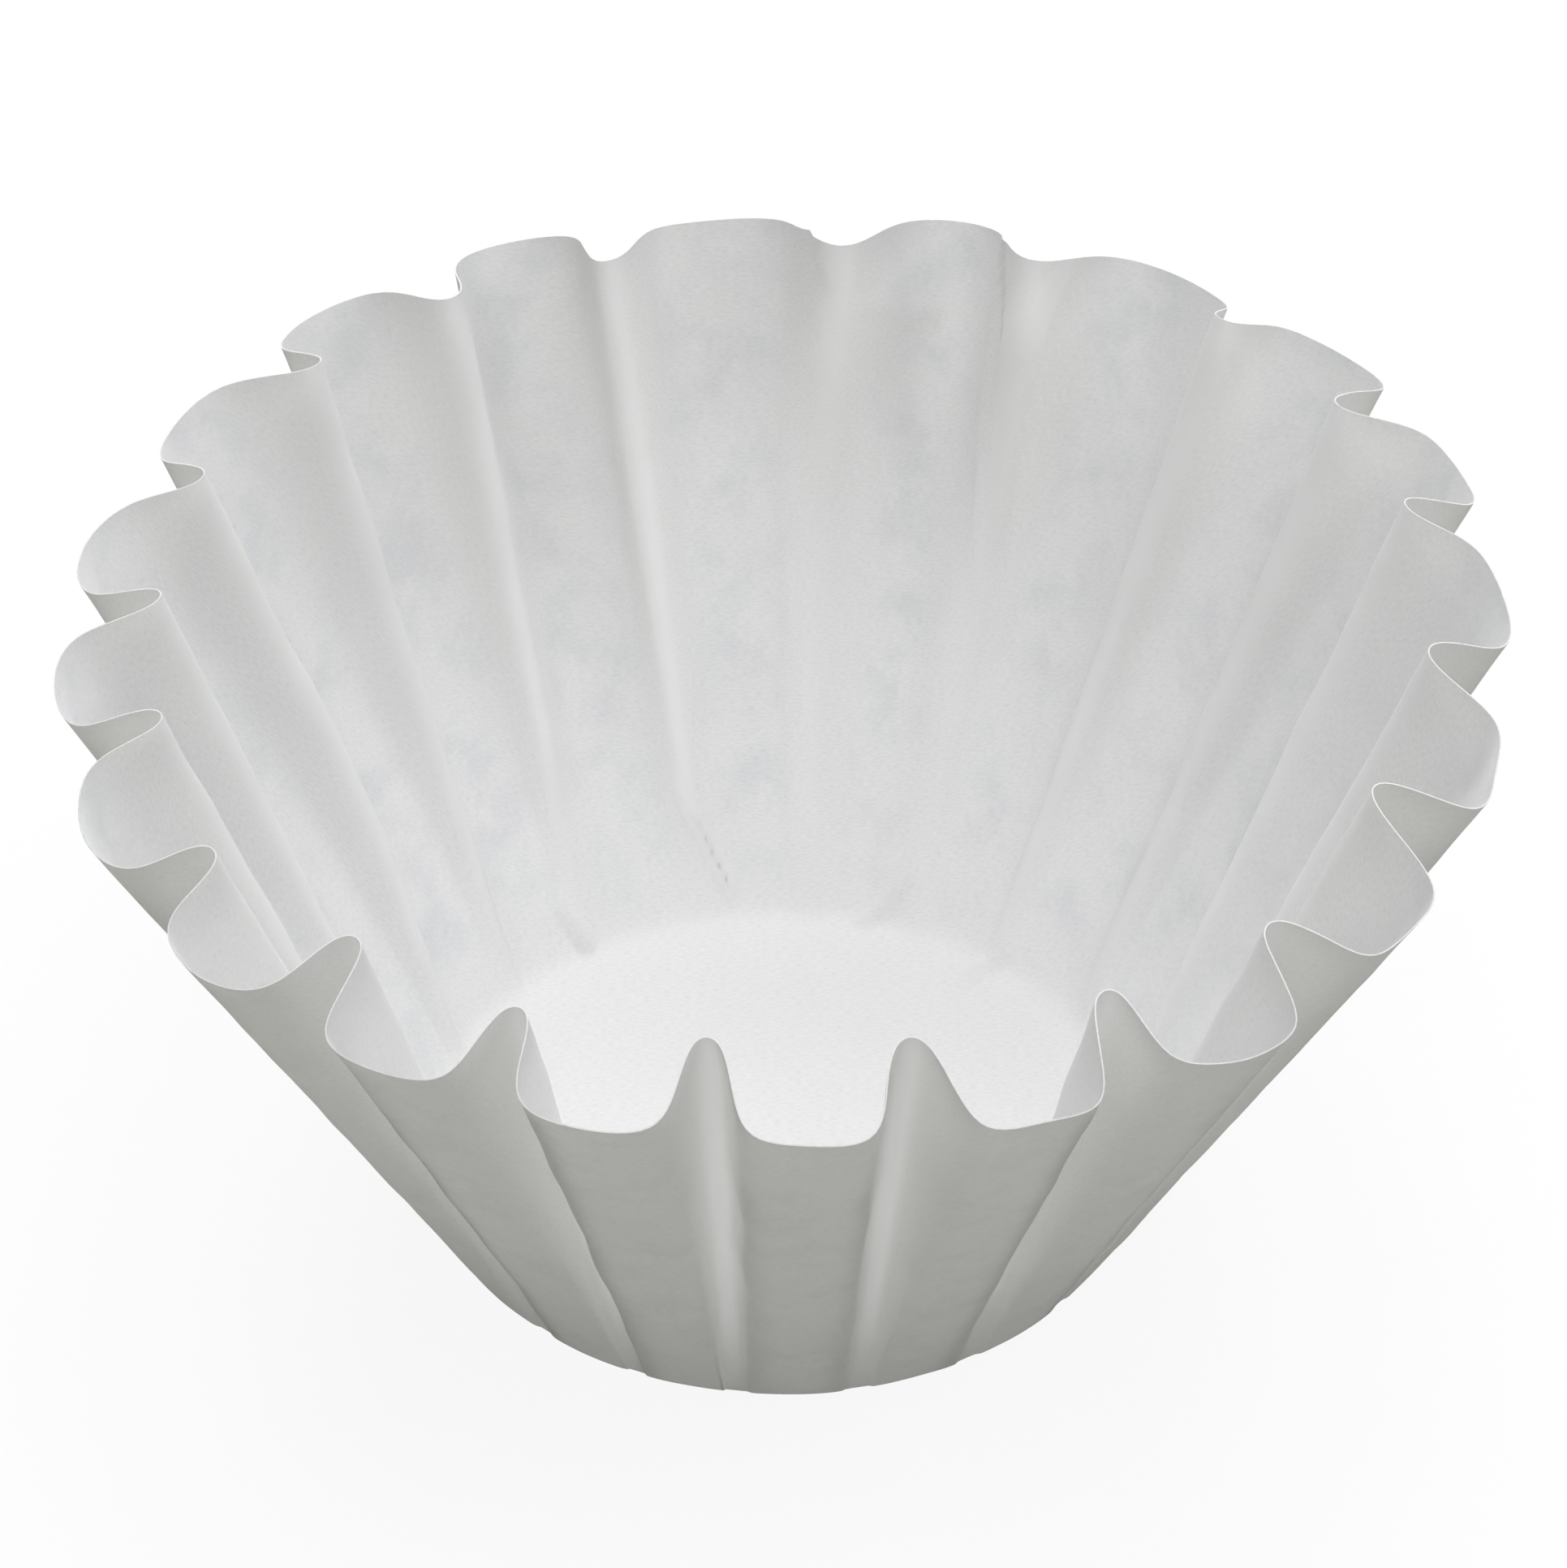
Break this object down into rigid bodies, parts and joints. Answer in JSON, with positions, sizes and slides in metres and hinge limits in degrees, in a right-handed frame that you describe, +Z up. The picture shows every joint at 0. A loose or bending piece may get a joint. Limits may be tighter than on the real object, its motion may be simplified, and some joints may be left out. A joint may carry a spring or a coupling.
{
  "type": "paper coffee filter",
  "caption": "Fluted flat-bottomed paper coffee filter, one thin white sheet pleated all round and standing open as a cup.",
  "frame": {"origin": "centre of the flat base, on the surface that it rests on", "axes": "+Z straight up out of the open cup, +Y towards the back of the cup as it is first seen, +X to its right"},
  "size_m": [0.1186, 0.1178, 0.0597],
  "materials": {
    "filter_paper": "matt, finely creped and slightly see-through"
  },
  "bodies": {
    "root": {"filter_paper": "filter_paper"}
  },
  "joints": []
}
